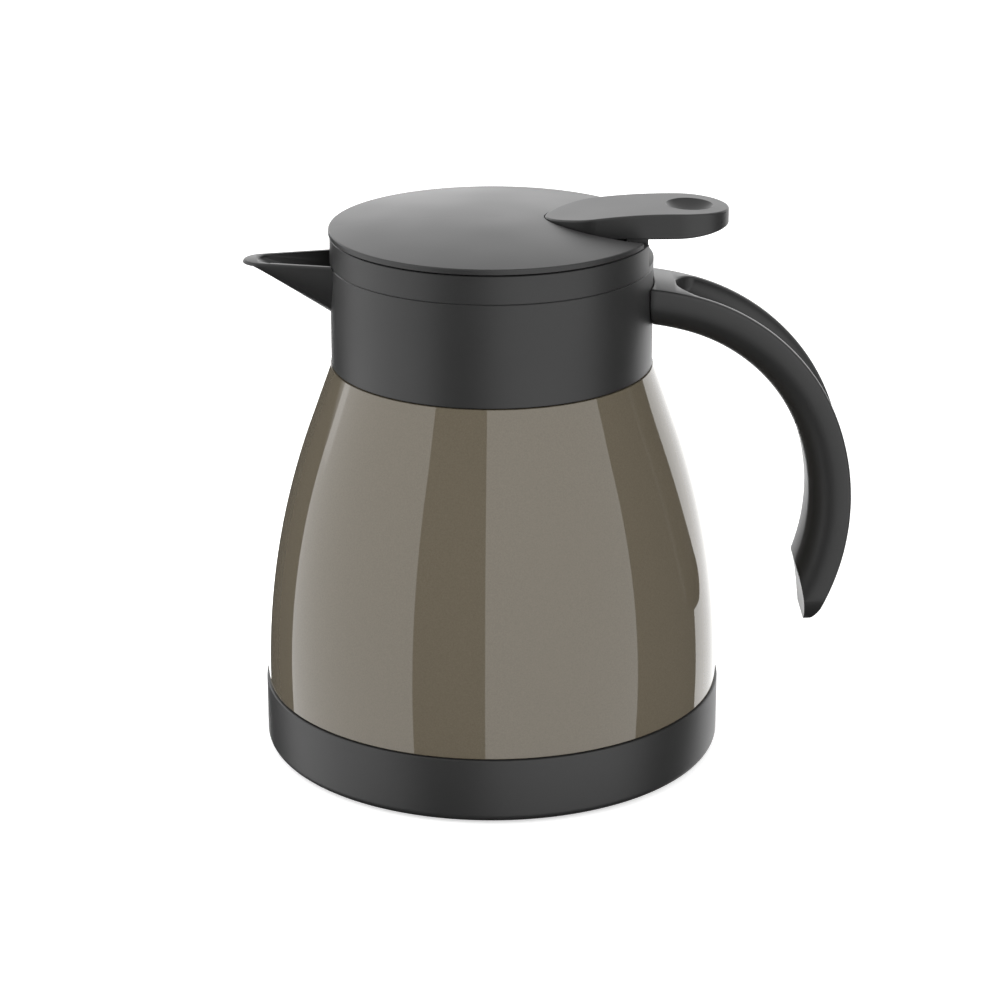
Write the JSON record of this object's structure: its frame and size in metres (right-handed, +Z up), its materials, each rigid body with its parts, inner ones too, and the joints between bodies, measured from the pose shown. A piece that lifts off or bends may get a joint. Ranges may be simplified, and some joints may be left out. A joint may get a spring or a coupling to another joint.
{
  "type": "thermal carafe",
  "caption": "Double-walled vacuum carafe with a black base cup, a spouted collar, a curved side handle and a sprung flip lid on a lift-off lid ring.",
  "frame": {"origin": "centre of the face the carafe rests on, the lower face of the foot ring", "axes": "+Z up along the flask's axis, +X towards the handle, -X towards the spout; the XZ plane is the plane of symmetry"},
  "size_m": [0.1564, 0.12, 0.145],
  "materials": {
    "jacket_paint": "satin metallic paint",
    "stainless": "brushed",
    "getter_metal": "dull",
    "seal_metal": "dull",
    "black_plastic": "satin",
    "plug_plastic": "satin",
    "seal_rubber": "matt",
    "foam": "cellular",
    "pin_steel": "ground",
    "spring_steel": "drawn",
    "screw_steel": "zinc plated"
  },
  "bodies": {
    "carafe": {"foot_ring": "seal_rubber", "base_cup": "black_plastic", "outer_shell": "jacket_paint", "outer_bottom": "stainless", "vacuum_seal": "seal_metal", "getter": "getter_metal", "inner_flask": "stainless", "inner_bottom": "stainless", "neck_gasket": "seal_rubber", "collar": "black_plastic", "handle": "black_plastic"},
    "lid_unit": {"lid_ring": "black_plastic", "hinge_pin": "pin_steel", "return_spring": "spring_steel"},
    "flip_lid": {"lid_cover": "black_plastic", "thumb_lever": "black_plastic", "lever_screws": "screw_steel", "lid_plug": "plug_plastic", "plug_screws": "screw_steel", "plug_foam": "foam", "plug_cap": "plug_plastic", "plug_seal": "seal_rubber"}
  },
  "joints": [
    {"name": "lid_lift", "type": "slide", "parent": "carafe", "child": "lid_unit", "axis": [0, 0, 1], "range_m": [0, 0.03]},
    {"name": "lid_flip", "type": "hinge", "parent": "lid_unit", "child": "flip_lid", "pos_m": [0.0365, 0, 0.1352], "axis": [0, 1, 0], "range_deg": [0, 40], "stiffness_Nm_per_rad": 0.08, "springref_deg": -34.38, "deforming": ["return_spring"]}
  ]
}
